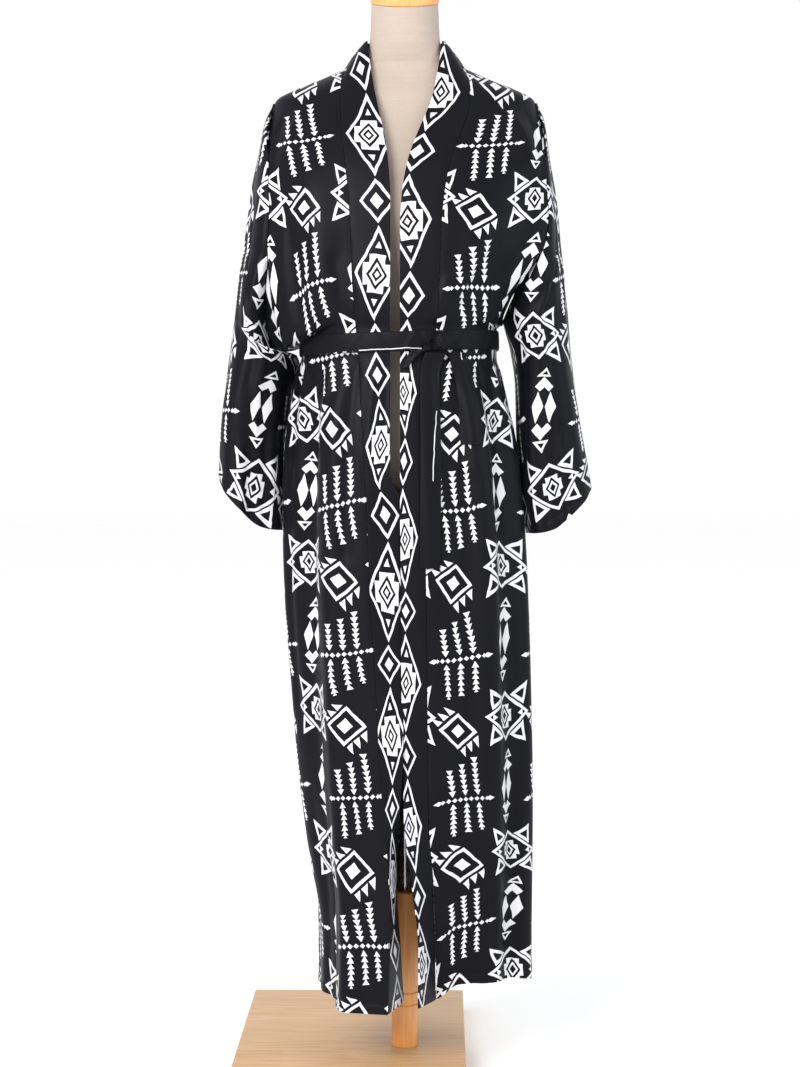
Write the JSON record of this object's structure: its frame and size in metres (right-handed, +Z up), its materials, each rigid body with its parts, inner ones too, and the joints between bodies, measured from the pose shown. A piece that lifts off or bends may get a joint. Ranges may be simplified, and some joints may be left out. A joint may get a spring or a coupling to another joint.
{
  "type": "kimono coat on dress form",
  "caption": "Long open-fronted kimono coat in dark cloth with a white geometric print and a tied belt, resting on a linen dress form with a wooden pole and board.",
  "frame": {"origin": "on the axis of the pole, at the underside of the base board", "axes": "+Z up the pole, the front of the coat faces -Y, +X to the right of the picture"},
  "size_m": [0.5375, 0.506, 1.5806],
  "materials": {
    "printed_cloth": "smooth woven, slight sheen",
    "linen": "plain weave, matt",
    "turned_wood": "lacquered satin",
    "steel_tube": "satin",
    "board_wood": "lacquered satin"
  },
  "bodies": {
    "root": {"back": "printed_cloth", "front_left": "printed_cloth", "front_right": "printed_cloth", "sleeve_left": "printed_cloth", "sleeve_right": "printed_cloth", "band_left": "printed_cloth", "band_right": "printed_cloth", "band_neck": "printed_cloth", "belt": "printed_cloth", "belt_knot": "printed_cloth", "belt_loop_tie": "printed_cloth", "belt_end_long": "printed_cloth", "belt_end_short": "printed_cloth", "form_torso": "linen", "neck_cap": "turned_wood", "form_tube": "steel_tube", "form_pole": "turned_wood", "base_board": "board_wood"}
  },
  "joints": []
}
